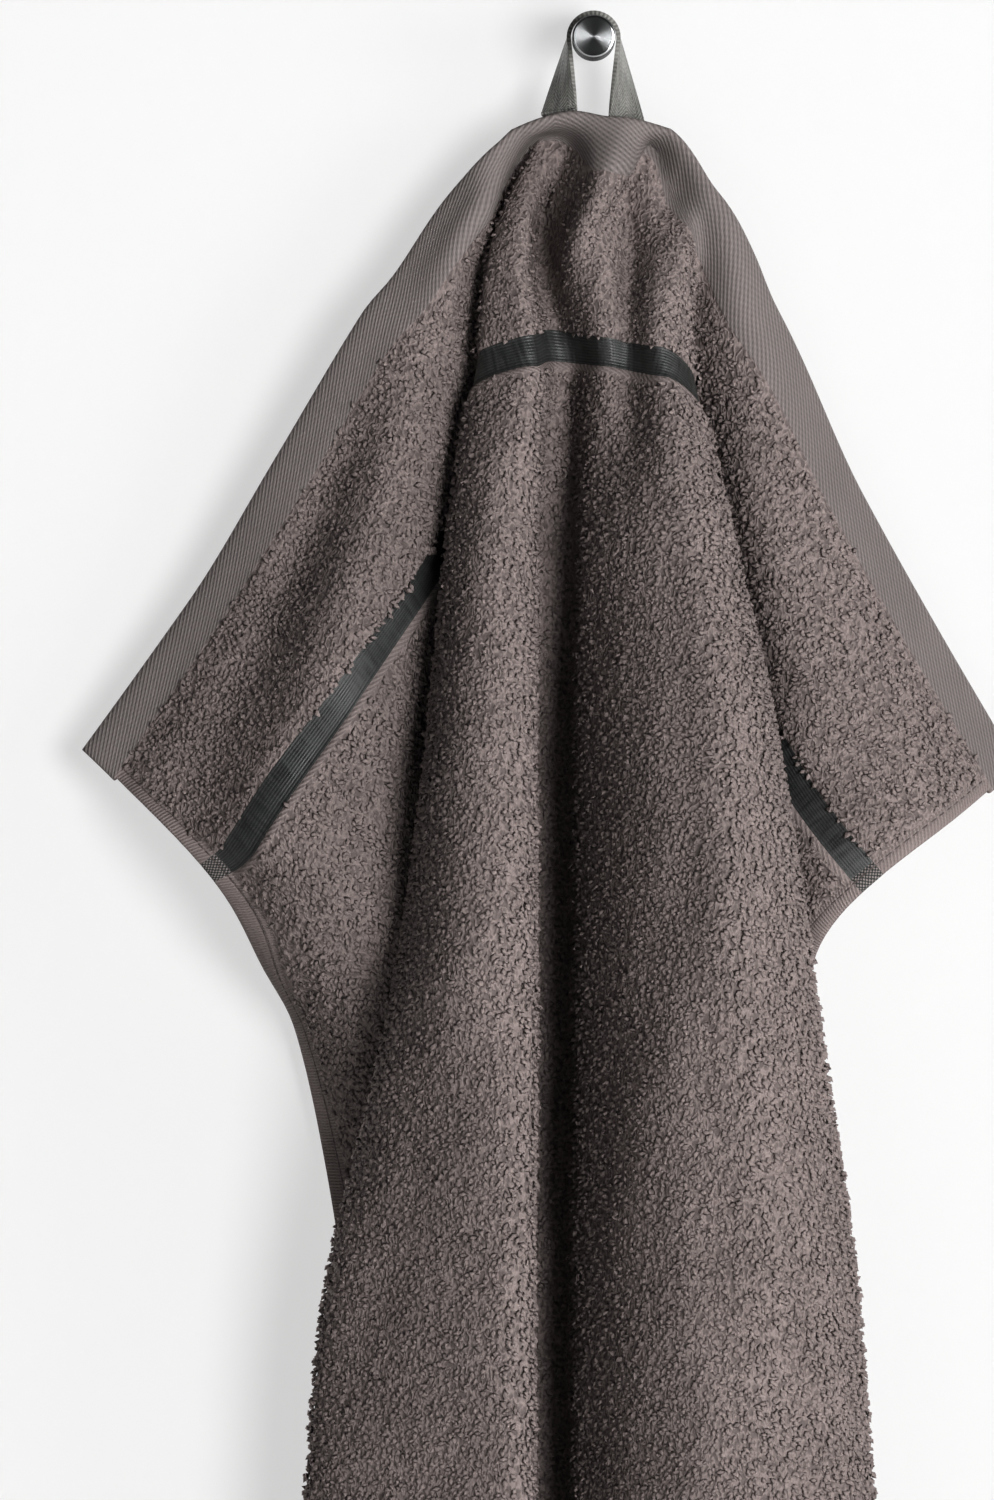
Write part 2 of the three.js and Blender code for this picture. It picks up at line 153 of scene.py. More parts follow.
# Where each fold line runs: at each reach (distance from the tip), how far to the side of the peg and how
# far out from the wall. Compared with the part's source, the left front fold leans to the right, the middle
# valley is undercut on its left, and some edges of the folds are moved.
REACH = np.array([28.0, 50, 90, 150, 200, 256, 300, 360, 440, 740])
FOLDS = {
    "left edge": {
        "side": [-23.5, -39.5, -63.5, -94.5, -120.5, -153, -90, -75, -68, -67],
        "out": [28, 27, 23, 20, 17, 14, 12, 14, 15, 16]},
    "left wing": {
        "side": [-20.5, -35, -50, -69.5, -85, -103, -72, -52, -46, -48],
        "out": [28, 31, 34, 43, 54, 56, 33, 16, 15, 16]},
    "left tuck, back": {
        "side": [-17.5, -29.5, -30.5, -34, -35.5, -19.5, -25, -29.5, -33.5, -37],
        "out": [26.5, 21.5, 17, 12, 11, 10, 10, 11, 13, 15]},
    "left tuck, front": {
        "side": [-15, -24.5, -22.5, -26, -27.5, -12.5, -18, -22.5, -26.5, -31],
        "out": [26, 21, 21, 18, 17, 16, 16, 18, 21, 24]},
    "left brow": {
        "side": [-13, -25.5, -34, -42.5, -47, -53, -61, -76, -85, -92],
        "out": [26, 31, 37, 46, 50, 53, 53, 49, 46, 44]},
    "left crest": {
        "side": [-10.5, -21.5, -24, -32, -37, -41, -44, -48, -52, -56],
        "out": [26, 34.5, 45.5, 68.5, 84, 94, 90, 84, 78, 70]},
    "left lip": {
        "side": [-7.5, -20, -18.5, -20.5, -21.2, -21.5, -21.5, -22, -22, -23],
        "out": [26, 34.5, 47, 63.5, 82, 95, 96, 95, 91, 83]},
    "middle valley, left": {
        "side": [-5, -16, -13, -21, -23, -24, -24.5, -25, -25, -26],
        "out": [26, 24.5, 27, 27, 26, 26, 26, 27, 28, 29]},
    "middle valley, right": {
        "side": [-2, -10.5, -6, -6, -6.5, -6.7, -7, -7.2, -7.5, -8],
        "out": [28, 25, 27, 26, 25, 25, 25, 26, 27, 28]},
    "right lip": {
        "side": [3, 1, 3.5, -1, -2.5, -2.7, -2.7, -3, -3.2, -3.7],
        "out": [33.5, 38.5, 43, 50, 52, 54, 55, 55, 55, 52]},
    "right flank": {
        "side": [8.5, 10, 11, 13, 14, 16, 17, 18, 20, 22],
        "out": [34.5, 33.5, 42, 66, 77, 84, 88, 87, 86, 78]},
    "right crest": {
        "side": [13.5, 18.5, 20, 30, 36, 40, 44, 48, 52, 56],
        "out": [32, 39, 53, 78, 97, 110, 111, 108, 104, 94]},
    "right brow": {
        "side": [16.5, 26, 28.5, 40.5, 51, 60, 66, 75, 82, 88],
        "out": [29.5, 33.5, 40, 56, 63, 72, 73, 70, 66, 60]},
    "right tuck, front": {
        "side": [19, 28.5, 18, 20, 19, 9.5, 22.5, 28.5, 31, 33],
        "out": [28.5, 29, 22, 18, 17, 16, 16, 18, 21, 24]},
    "right tuck, back": {
        "side": [21, 31.5, 25, 28, 27, 17.5, 29.5, 35.5, 39, 41],
        "out": [28, 27.5, 17, 12, 11, 10, 10, 11, 13, 15]},
    "right wing": {
        "side": [23.5, 36, 46, 65, 82, 97, 96, 46, 44, 47],
        "out": [28.5, 29, 30, 34, 38, 49, 46, 13, 14, 15]},
    "right edge": {
        "side": [25, 40, 56, 81.5, 106, 134, 126, 62, 56, 58],
        "out": [28.5, 26, 22, 18, 15, 12, 15, 13, 14, 15]},
}
MIDDLE_LINE = list(FOLDS).index("middle valley, left")

# Below the tape's ends the hem swings back and up, and between them it juts out. A valley runs down from
# there to the stripe, and the fold on its right is set back. Beside the ends the shoulders sag, and by the
# left end the top edge is lifted. For each: its middle and half width across the flat cloth, the places
# down the cloth where it starts, is fullest and ends, and how far the cloth goes back and up there.
SWINGS = {
    "left shoulder": {"middle": -52, "half_width": 48, "down": (-60, 0, 75), "back": 0, "up": -6},
    "right shoulder": {"middle": 48, "half_width": 28, "down": (-60, 0, 75), "back": 0, "up": -1.5},
    "top": {"middle": -13, "half_width": 18, "down": (-60, 0, 40), "back": 0, "up": 2},
    "left hollow": {"middle": -20, "half_width": 23, "down": (0, 16.5, 60), "back": 12.5, "up": 9.5},
    "nose": {"middle": 5.5, "half_width": 13.5, "down": (0, 16.5, 60), "back": -3.5, "up": 0},
    "right hollow": {"middle": 23, "half_width": 10, "down": (0, 16.5, 60), "back": 3, "up": 9},
    "right fold": {"middle": 27, "half_width": 20, "down": (0, 14, 66), "back": 11, "up": 0},
    "valley": {"middle": -6, "half_width": 12, "down": (16, 40, 72), "back": 13, "up": 0},
}

# The left wing's hem turns out from the wall at its edge: how far, from where to where along the hem that
# grows, and how far below the hem it has faded.
FLARE = 7.0
FLARE_GROWS = (40.0, 110.0)
FLARE_BELOW = 8.0

# Parts of the wings and of the right front fold that stand further out than the fold lines put them, or
# further in where out is below zero. For each: its middle and half width counted in fold lines, the reaches
# between which it grows and fades, and how far out it stands.
BULGES = {
    "left flank": {"line": 0.7, "half_width": 0.4, "reach": (110, 180, 255, 300), "out": -7},
    "left wing": {"line": 1.5, "half_width": 0.75, "reach": (80, 170, 255, 310), "out": 17},
    "right flank": {"line": 10, "half_width": 0.9, "reach": (110, 190, 900, 901), "out": 5},
    "right crest": {"line": 11, "half_width": 0.8, "reach": (110, 190, 900, 901), "out": -5},
    "right brow": {"line": 11.6, "half_width": 0.5, "reach": (110, 190, 900, 901), "out": 5},
    "right wing": {"line": 14.6, "half_width": 0.45, "reach": (80, 170, 290, 330), "out": 11},
}

# Soft dents all over the cloth below the hem, as crossing waves of the flat cloth. The height is the
# shortest wave's, and the others are as much higher as they are longer.
DENTS = 14
DENT_HEIGHT = 0.15625
DENT_LENGTHS = (26.0, 80.0)
DENTS_GROW = (4.0, 70.0)

# How finely the drape is tabled
STEPS_PER_FOLD = 16
TABLE_STEP = 2.0
TABLE_ANGLES = np.linspace(-1.65, 1.65, 2401)
STRAIGHT_ON = 400.0
NORMAL_STEP = 0.5


def smoothstep(low, high, x):
    t = np.clip((x - low) / (high - low), 0, 1)
    return t * t * (3 - 2 * t)


def unit(vectors):
    return vectors / np.linalg.norm(vectors, axis=-1, keepdims=True)


def run_lengths(points):
    """Length along a run of points, up to each of them."""
    return np.concatenate([[0], np.cumsum(np.linalg.norm(np.diff(points, axis=0), axis=1))])


# The drape: fold lines worked out as in the part's source, with swings, bulges and dents on top of them

def cubic(t, span, start, end, start_slope, end_slope):
    """A cubic from one knot to the next, with the slopes at its two ends."""
    t2 = t * t
    t3 = t2 * t
    ends = (2 * t3 - 3 * t2 + 1) * start + (3 * t2 - 2 * t3) * end
    return ends + (t3 - 2 * t2 + t) * span * start_slope + (t3 - t2) * span * end_slope


def round_slopes(knots, values):
    """Slope at each knot of a smooth curve, as a parabola through three knots gives it."""
    rise = np.diff(values) / np.diff(knots)
    share = (knots[1:-1] - knots[:-2]) / (knots[2:] - knots[:-2])
    inner = rise[:-1] * (1 - share) + rise[1:] * share
    return np.concatenate([rise[:1], inner, rise[-1:]])


def steady_slopes(knots, values):
    """Slope at each knot of curves that never swing past their knots, one curve to a column."""
    spans = np.diff(knots)[:, None]
    rise = np.diff(values, axis=0) / spans
    before = spans[:-1]
    after = spans[1:]
    same_way = rise[:-1] * rise[1:] > 0
    safe_before = np.where(same_way, rise[:-1], 1)
    safe_after = np.where(same_way, rise[1:], 1)
    mean = 3 * (before + after) / ((2 * after + before) / safe_before + (after + 2 * before) / safe_after)
    return np.concatenate([rise[:1], np.where(same_way, mean, 0), rise[-1:]])


def fold_section(station):
    """One section across all the folds, on a sphere about the tip. Each row has a direction from the tip
    as side, out and down, and the angle in the flat cloth that the arc length gives it."""
    reach = REACH[station]
    side = np.array([fold["side"][station] for fold in FOLDS.values()], float)
    out = np.array([fold["out"][station] for fold in FOLDS.values()], float) + TIP[1]
    knots = np.concatenate([[0], np.cumsum(np.sqrt(np.hypot(np.diff(side), np.diff(out))))])
    steps = np.arange((len(FOLDS) - 1) * STEPS_PER_FOLD + 1)
    k = np.minimum(steps // STEPS_PER_FOLD, len(FOLDS) - 2)
    t = steps / STEPS_PER_FOLD - k
    across = []
    for values in (side, out):
        slopes = round_slopes(knots, values)
        curve = cubic(t, np.diff(knots)[k], values[k], values[k + 1], slopes[k], slopes[k + 1])
        across.append(curve / reach)
    directions = np.stack([*across, np.sqrt(1 - across[0] ** 2 - across[1] ** 2)], axis=1)
    arc = run_lengths(directions)
    middle = (arc[MIDDLE_LINE * STEPS_PER_FOLD] + arc[(MIDDLE_LINE + 1) * STEPS_PER_FOLD]) / 2
    return np.column_stack([directions, arc - middle - MIDDLE_SHIFT / reach])


SECTIONS = np.stack([fold_section(station) for station in range(len(REACH))])


def drape_table():
    """Directions from the tip, for every reach of the table and every angle in the flat cloth."""
    flat_runs = SECTIONS.reshape(len(REACH), -1)
    slopes = steady_slopes(REACH, flat_runs)
    reaches = np.arange(REACH[0], REACH[-1] + TABLE_STEP, TABLE_STEP)
    rows = []
    for reach in reaches:
        k = int(np.clip(np.searchsorted(REACH, reach) - 1, 0, len(REACH) - 2))
        span = REACH[k + 1] - REACH[k]
        t = min((reach - REACH[k]) / span, 1.0)
        row = cubic(t, span, flat_runs[k], flat_runs[k + 1], slopes[k], slopes[k + 1]).reshape(-1, 4)
        before = row[0] + (row[0] - row[1]) * STRAIGHT_ON
        after = row[-1] + (row[-1] - row[-2]) * STRAIGHT_ON
        row = np.vstack([before, row, after])
        *directions, angles = row.T
        rows.append(np.column_stack([np.interp(TABLE_ANGLES, angles, part) for part in directions]))
    return np.stack(rows)


DRAPE = drape_table()


def hem_swing(u, v):
    """How far points of the flat cloth are moved by the swings of the hem."""
    move = np.zeros((*np.shape(u), 3))
    for swing in SWINGS.values():
        start, fullest, end = swing["down"]
        down = smoothstep(start, fullest, v) - smoothstep(fullest, end, v)
        aside = np.clip(np.abs(u - swing["middle"]) / swing["half_width"], 0, 1)
        share = down * (1 - aside ** 3) ** 2
        move += share[..., None] * np.array([0, swing["back"], swing["up"]])
    return move


def hem_flare(u, v):
    """How far out the left wing's hem stands, most at its edge."""
    return FLARE * smoothstep(*FLARE_GROWS, -u) * (1 - smoothstep(0, TOP_HEM + FLARE_BELOW, v))


def fold_number(reach, angle):
    """How many fold lines lie to the left of a place, with the share of the way to the next one."""
    lines = [np.interp(reach, REACH, SECTIONS[:, n * STEPS_PER_FOLD, 3]) for n in range(len(FOLDS))]
    return sum(np.clip((angle - low) / (high - low), 0, 1) for low, high in zip(lines, lines[1:]))


def bulge(reach, angle):
    """How far the cloth stands out because of the bulges of the folds."""
    number = fold_number(reach, angle)
    out = np.zeros(np.shape(reach))
    for swell in BULGES.values():
        grows, full, fades, gone = swell["reach"]
        along = smoothstep(grows, full, reach) - smoothstep(fades, gone, reach)
        aside = np.clip((number - swell["line"]) / swell["half_width"], -1, 1)
        out += swell["out"] * along * np.cos(math.pi / 2 * aside) ** 2
    return out


dent_turns = chance.uniform(0, math.pi, DENTS)
dent_starts = chance.uniform(0, 2 * math.pi, DENTS)
dent_lengths = np.geomspace(*DENT_LENGTHS, DENTS)


def dents(u, v):
    """How far out the cloth stands at a place because of its dents."""
    height = np.zeros(np.shape(u))
    for turn, start, length in zip(dent_turns, dent_starts, dent_lengths):
        along = (u * math.cos(turn) + v * math.sin(turn)) / length
        height += DENT_HEIGHT * length / DENT_LENGTHS[0] * np.sin(2 * math.pi * along + start)
    return height * smoothstep(*DENTS_GROW, v - TOP_HEM)


def drape(u, v):
    """Where points of the flat cloth hang."""
    reach = np.hypot(u, v + RISE)
    angle = np.arctan2(u, v + RISE)
    row = np.clip((reach - REACH[0]) / TABLE_STEP, 0, len(DRAPE) - 1.001)
    column = (angle - TABLE_ANGLES[0]) / (TABLE_ANGLES[1] - TABLE_ANGLES[0])
    r = row.astype(int)
    c = column.astype(int)
    down_share = (row - r)[..., None]
    across_share = (column - c)[..., None]
    upper = DRAPE[r, c] * (1 - across_share) + DRAPE[r, c + 1] * across_share
    lower = DRAPE[r + 1, c] * (1 - across_share) + DRAPE[r + 1, c + 1] * across_share
    folded = unit((upper * (1 - down_share) + lower * down_share) * [1, -1, -1])
    flat = np.stack([np.sin(angle), np.zeros_like(angle), -np.cos(angle)], axis=-1)
    folded_share = smoothstep(FLAT_REACH, REACH[0], reach)[..., None]
    hanging = TIP + unit(flat + (folded - flat) * folded_share) * reach[..., None]
    out = bulge(reach, angle) + hem_flare(u, v) + dents(u, v)
    outward = out[..., None] * np.array([0.0, -1.0, 0.0])
    return hanging + hem_swing(u, v) + outward


def cloth_axes(u, v):
    """Directions across and down the hanging cloth, and out of its front face."""
    across = unit(drape(u + NORMAL_STEP, v) - drape(u - NORMAL_STEP, v))
    down = unit(drape(u, v + NORMAL_STEP) - drape(u, v - NORMAL_STEP))
    return across, down, unit(np.cross(down, across))


def stand_off(u, v, height):
    """Points in front of the middle of the hanging cloth, or behind it where height is below zero."""
    return drape(u, v) + cloth_axes(u, v)[2] * height[..., None]


# Meshes

def finish_piece(piece):
    """Every piece hangs from the one body."""
    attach(piece, "root")
    return piece


def add_object(name, data):
    made = bpy.data.objects.new(name, data)
    bpy.context.collection.objects.link(made)
    return made


def new_piece(name, mesh, materials):
    piece = add_object(name, mesh)
    for material in materials:
        mesh.materials.append(material)
    return piece


def mesh_from(bm, name):
    mesh = bpy.data.meshes.new(name)
    bm.to_mesh(mesh)
    bm.free()
    mesh.shade_smooth()
    return mesh


def new_grid(bm, columns, rows):
    """The vertices of a new grid that spans -1 to 1 both ways."""
    return bmesh.ops.create_grid(bm, x_segments=columns - 1, y_segments=rows - 1, size=1)["verts"]


def grid_places(verts, columns, rows):
    """The column and row of each vertex of a new grid."""
    flat = np.array([vert.co for vert in verts])
    column = np.rint((flat[:, 0] + 1) / 2 * (columns - 1)).astype(int)
    row = np.rint((1 - flat[:, 1]) / 2 * (rows - 1)).astype(int)
    return column, row


def small_shape(sides, rings):
    """A small round shape from pole to pole along Z, as points and triangles."""
    bm = bmesh.new()
    bmesh.ops.create_uvsphere(bm, u_segments=sides, v_segments=rings, radius=1)
    bmesh.ops.triangulate(bm, faces=bm.faces)
    bm.verts.index_update()
    points = np.array([vert.co for vert in bm.verts])
    faces = np.array([[vert.index for vert in face.verts] for face in bm.faces])
    bm.free()
    return points, faces


def joined_shapes(name, points, faces, places, axes, tones_and_shade, facing):
    """One mesh of many copies of a small shape. axes has each copy's own three axes, as long as its sizes.
    Every point keeps its colour value, with any painted shade in it, and the way that the cloth under its
    copy faces."""
    at = places[:, None, :] + np.einsum("pk,nkj->npj", points, axes)
    first = np.arange(len(places))[:, None, None] * len(points)
    mesh = bpy.data.meshes.new(name)
    mesh.from_pydata((at.reshape(-1, 3) * MM).tolist(), [], (faces[None] + first).reshape(-1, 3).tolist())
    tone_and_shade = mesh.attributes.new("tone_and_shade", "FLOAT", "POINT")
    tone_and_shade.data.foreach_set("value", tones_and_shade.ravel().astype(np.float32))
    way = mesh.attributes.new("facing", "FLOAT_VECTOR", "POINT")
    way.data.foreach_set("vector", np.repeat(facing, len(points), axis=0).ravel().astype(np.float32))
    mesh.shade_smooth()
    return mesh


# Shader nodes

def add_node(tree, kind, inputs=None, **settings):
    """A new node's outputs. inputs has sockets to link and values to set, by the input's name or number."""
    node = tree.nodes.new(kind)
    for name, value in settings.items():
        setattr(node, name, value)
    for name, value in (inputs or {}).items():
        if isinstance(value, bpy.types.NodeSocket):
            tree.links.new(value, node.inputs[name])
        else:
            node.inputs[name].default_value = value
    return node.outputs


def calculate(tree, operation, first, second=0.0):
    return add_node(tree, "ShaderNodeMath", {0: first, 1: second}, operation=operation)[0]


def wave(tree, place, pitch):
    """A sine along one coordinate."""
    turns = calculate(tree, "DIVIDE", place, pitch)
    return calculate(tree, "SINE", calculate(tree, "MULTIPLY", turns, 2 * math.pi))


def split(tree, place):
    return add_node(tree, "ShaderNodeSeparateXYZ", {0: place})


def flat_vector(tree, x, y):
    return add_node(tree, "ShaderNodeCombineXYZ", {"X": x, "Y": y})[0]


def vector_math(tree, operation, *given):
    return add_node(tree, "ShaderNodeVectorMath", dict(enumerate(given)), operation=operation)[0]


def noise(tree, place, scale, detail):
    inputs = {"Vector": place, "Scale": scale, "Detail": detail}
    return add_node(tree, "ShaderNodeTexNoise", inputs)[0]


def mix_colours(tree, share, first, second):
    inputs = {"Factor": share, "A": first, "B": second}
    return add_node(tree, "ShaderNodeMix", inputs, data_type="RGBA")["Result"]


def new_group(name, inputs, outputs):
    """A shader node group with its sockets. Inputs and outputs give each socket's name and kind."""
    tree = bpy.data.node_groups.new(name, "ShaderNodeTree")
    for direction, sockets in (("INPUT", inputs), ("OUTPUT", outputs)):
        for label, kind in sockets.items():
            tree.interface.new_socket(label, in_out=direction, socket_type="NodeSocket" + kind)
    return tree, tree.nodes.new("NodeGroupInput").outputs, tree.nodes.new("NodeGroupOutput").inputs


RIB_HEIGHT = 0.34
CROSSING_HEIGHT = 0.16
STRAND_STRETCH = (1, 1, 0.65)
STRAND_STEEPNESS = 6.0


def weave_group():
    """Ribs of a woven cloth, broken up by the threads that cross them, in millimetres."""
    tree, given, made = new_group(
        "woven_ribs",
        {"Place": "Vector", "Rib Pitch": "Float", "Rib Slant": "Float", "Thread Pitch": "Float"},
        {"Height": "Float"})
    parts = split(tree, given["Place"])
    slanted = calculate(tree, "MULTIPLY", parts["X"], given["Rib Slant"])
    rib = wave(tree, calculate(tree, "SUBTRACT", parts["Y"], slanted), given["Rib Pitch"])
    thread = wave(tree, parts["X"], given["Thread Pitch"])
    crossing = calculate(tree, "MULTIPLY", calculate(tree, "MULTIPLY", rib, thread), CROSSING_HEIGHT)
    height = calculate(tree, "ADD", calculate(tree, "MULTIPLY", rib, RIB_HEIGHT), crossing)
    tree.links.new(calculate(tree, "ADD", height, 0.5), made["Height"])
    return tree


def strand_group():
    """Short bent strands of looped yarn: 1 along the middle of a strand, 0 between strands. Place is in
    millimetres, and strands are longer up and down than across."""
    tree, given, made = new_group("yarn_strands", {"Place": "Vector"}, {"Height": "Float"})
    drawn = vector_math(tree, "MULTIPLY", given["Place"], STRAND_STRETCH)
    bend = noise(tree, drawn, scale=0.55, detail=1.0)
    aside = calculate(tree, "ABSOLUTE", calculate(tree, "SUBTRACT", bend, 0.5))
    height = calculate(tree, "SUBTRACT", 1.0, calculate(tree, "MULTIPLY", aside, STRAND_STEEPNESS))
    tree.links.new(calculate(tree, "MAXIMUM", height, 0.0), made["Height"])
    return tree


def yarn_group():
    """Yarn colour, uneven over a few centimetres and from thread to thread, with painted shade that darkens
    it where its height is low.
    """
    tree, given, made = new_group(
        "yarn_colour_and_shade",
        {"Colour": "Color", "Place": "Vector", "Height": "Float", "Hollow Shade": "Float", "Uneven": "Float"},
        {"Colour": "Color"})
    patches = noise(tree, given["Place"], scale=0.05, detail=3.0)
    threads = noise(tree, given["Place"], scale=0.9, detail=2.0)
    both = calculate(tree, "ADD", patches, threads)
    swing = calculate(tree, "MULTIPLY", calculate(tree, "SUBTRACT", both, 1.0), given["Uneven"])
    # Painted shade: where the height is low the colour is darker, as deep as the hollow input.
    depth = calculate(tree, "SUBTRACT", 1.0, given["Height"])
    shade = calculate(tree, "MULTIPLY", depth, given["Hollow Shade"])
    bright = calculate(tree, "SUBTRACT", calculate(tree, "ADD", swing, 1.0), shade)
    tree.links.new(vector_math(tree, "MULTIPLY", given["Colour"], bright), made["Colour"])
    return tree


WOVEN_RIBS = weave_group()
YARN_STRANDS = strand_group()
YARN_COLOUR_AND_SHADE = yarn_group()


def place_group(tree, group, inputs):
    """A group placed in a material with its own values. It has one output."""
    return add_node(tree, "ShaderNodeGroup", inputs, node_tree=group)[0]


def ribs(tree, place, pitch, slant, thread_pitch):
    return place_group(tree, WOVEN_RIBS, {
        "Place": place, "Rib Pitch": pitch, "Rib Slant": slant, "Thread Pitch": thread_pitch})


def strands(tree, place):
    return place_group(tree, YARN_STRANDS, {"Place": place})


# Yarn colour with random unevenness, and painted shade as deep as hollow where height is low.
def yarn_colour_and_shade(tree, colour, place, height, hollow, uneven):
    return place_group(tree, YARN_COLOUR_AND_SHADE, {
        "Colour": colour, "Place": place, "Height": height, "Hollow Shade": hollow, "Uneven": uneven})


def new_material(name):
    material = bpy.data.materials.new(name)
    material.use_nodes = True
    material.node_tree.nodes.clear()
    return material, material.node_tree


def surface(tree, inputs, shader="ShaderNodeBsdfPrincipled"):
    shaded = add_node(tree, shader, inputs)[0]
    add_node(tree, "ShaderNodeOutputMaterial", {"Surface": shaded})


def cloth_surface(tree, colour, normal, roughness, specular):
    surface(tree, {
        "Base Color": colour, "Roughness": roughness, "Specular IOR Level": specular, "Normal": normal})


def in_millimetres(tree, place):
    return vector_math(tree, "MULTIPLY", place, (1 / MM, 1 / MM, 1 / MM))


def flat_place(tree):
    """The piece's UV map, which holds its flat place in metres, in millimetres."""
    return in_millimetres(tree, add_node(tree, "ShaderNodeUVMap", uv_map="flat")[0])


def object_place(tree):
    """Object coordinates, in millimetres."""
    return in_millimetres(tree, add_node(tree, "ShaderNodeTexCoord")["Object"])


def bump(tree, height, depth, normal=None):
    """A normal that follows a height from 0 to 1, depth millimetres deep."""
    inputs = {"Height": height, "Strength": 1.0, "Distance": depth * MM}
    if normal:
        inputs["Normal"] = normal
    return add_node(tree, "ShaderNodeBump", inputs)[0]


TAUPE = (0.262, 0.222, 0.213, 1)
HEM_TAUPE = (0.237, 0.211, 0.205, 1)
CHARCOAL = (0.045, 0.047, 0.046, 1)
TAPE_GREY = (0.26, 0.258, 0.243, 1)
STEEL_DARK = (0.36, 0.368, 0.374, 1)
STEEL_PALE = (0.52, 0.528, 0.534, 1)
TWILL_MIDDLE = -12.0
CLOTH_LEAN = 1.6
STRAND_TONE = 0.3
STREAK_STRETCH = (1.0, 0.12, 1.0)
STREAK_WEIGHT = 2.0
STREAK_SHADE = 0.6
TAPE_STREAK_STRETCH = (1.3, 0.14, 1.0)
CHECK_PITCH = 1.3
CHECK_LEVEL = -0.1


def hem_material():
    """Twill whose ribs slant the other way on the left half, so that they hang upright on both wings."""
    material, tree = new_material("hem_twill")
    place = flat_place(tree)
    parts = split(tree, place)
    off_middle = calculate(tree, "SUBTRACT", parts["X"], LEFT_HALF + TWILL_MIDDLE)
    mirrored = flat_vector(tree, calculate(tree, "ABSOLUTE", off_middle), parts["Y"])
    height = ribs(tree, mirrored, pitch=1.5, slant=0.6, thread_pitch=1.3)
    # Painted shade in the hollows between the twill's ribs.
    yarn_colour_shaded = yarn_colour_and_shade(tree, HEM_TAUPE, place, height, hollow=0.52, uneven=0.15)
    cloth_surface(tree, yarn_colour_shaded, bump(tree, height, depth=0.2), roughness=0.85, specular=0.25)
    return material


def side_hem_and_lit_rim_material():
    # Also used on the rim under the stripe, where its lighter colour is painted light on the pile's
    # upward-facing edge.
    material, tree = new_material("side_hem_and_lit_rim_weave")
    place = flat_place(tree)
    height = ribs(tree, place, pitch=1.3, slant=0.5, thread_pitch=1.1)
    # Painted shade in the hollows between the ribs.
    yarn_colour_shaded = yarn_colour_and_shade(tree, TAUPE, place, height, hollow=0.35, uneven=0.2)
    cloth_surface(tree, yarn_colour_shaded, bump(tree, height, depth=0.25), roughness=0.9, specular=0.25)
    return material


def terry_ground_material():
    material, tree = new_material("terry_ground")
    place = object_place(tree)
    height = strands(tree, place)
    # Painted shade in the gaps between the strands of the pile.
    yarn_colour_shaded = yarn_colour_and_shade(tree, TAUPE, place, height, hollow=0.45, uneven=0.25)
    cloth_surface(tree, yarn_colour_shaded, bump(tree, height, depth=0.4), roughness=0.95, specular=0.1)
    return material


def terry_loop_material():
    """Looped pile: each loop differs in colour at random, and painted shade darkens it towards its root.
    Light that scatters among the loops shades them partly as the cloth under them, so their normals lean
    towards the cloth's."""
    material, tree = new_material("terry_loops")
    place = object_place(tree)
    strand = strands(tree, place)
    tone_and_shade = add_node(tree, "ShaderNodeAttribute", attribute_name="tone_and_shade")["Fac"]
    height = calculate(tree, "ADD", tone_and_shade, calculate(tree, "MULTIPLY", strand, STRAND_TONE))
    # Painted shade between the strands and towards each loop's root, as deep as hollow.
    yarn_colour_shaded = yarn_colour_and_shade(tree, TAUPE, place, height, hollow=0.33, uneven=0.25)
    own = add_node(tree, "ShaderNodeNewGeometry")["Normal"]
    cloth = add_node(tree, "ShaderNodeAttribute", attribute_name="facing")["Vector"]
    leaning = vector_math(tree, "MULTIPLY_ADD", cloth, (CLOTH_LEAN, CLOTH_LEAN, CLOTH_LEAN), own)
    shaded = vector_math(tree, "NORMALIZE", leaning)
    cloth_surface(tree, yarn_colour_shaded, bump(tree, strand, depth=0.18, normal=shaded), roughness=0.95, specular=0.1)
    return material


def satin_material():
    """The stripe: smooth dark satin with short streaks across it."""
    material, tree = new_material("stripe_satin")
    place = flat_place(tree)
    drawn = vector_math(tree, "MULTIPLY", place, STREAK_STRETCH)
    streak = noise(tree, drawn, scale=0.9, detail=3.0)
    height = ribs(tree, place, pitch=0.9, slant=0.0, thread_pitch=0.8)
    streaked = calculate(tree, "ADD", height, calculate(tree, "MULTIPLY", streak, STREAK_WEIGHT))
    shade = calculate(tree, "MULTIPLY", streaked, STREAK_SHADE)
    # Painted shade in the hollows between the ribs; the streaks are lighter than the cloth between them.
    yarn_colour_shaded = yarn_colour_and_shade(tree, CHARCOAL, drawn, shade, hollow=0.8, uneven=0.8)
    rough = add_node(tree, "ShaderNodeMapRange", {
        "Value": streak, "From Min": 0.3, "From Max": 0.7, "To Min": 0.36, "To Max": 0.6})[0]
    cloth_surface(tree, yarn_colour_shaded, bump(tree, height, depth=0.12), roughness=rough, specular=0.5)
    return material


def stripe_end_material():
    """Where the stripe runs into the side hem, dark and light threads cross in a fine check."""
    material, tree = new_material("stripe_end_check")
    parts = split(tree, flat_place(tree))
    across = wave(tree, parts["X"], CHECK_PITCH)
    check = calculate(tree, "MULTIPLY", across, wave(tree, parts["Y"], CHECK_PITCH))
    dark = calculate(tree, "GREATER_THAN", check, CHECK_LEVEL)
    mixed = mix_colours(tree, dark, HEM_TAUPE, CHARCOAL)
    height = calculate(tree, "ADD", calculate(tree, "MULTIPLY", check, 0.5), 0.5)
    cloth_surface(tree, mixed, bump(tree, height, depth=0.2), roughness=0.8, specular=0.25)
    return material


# Towel

def spaced(start, stop, step):
    """Even places from start to stop, both included, about a step apart."""
    return np.linspace(start, stop, max(int(round((stop - start) / step)), 1) + 1)


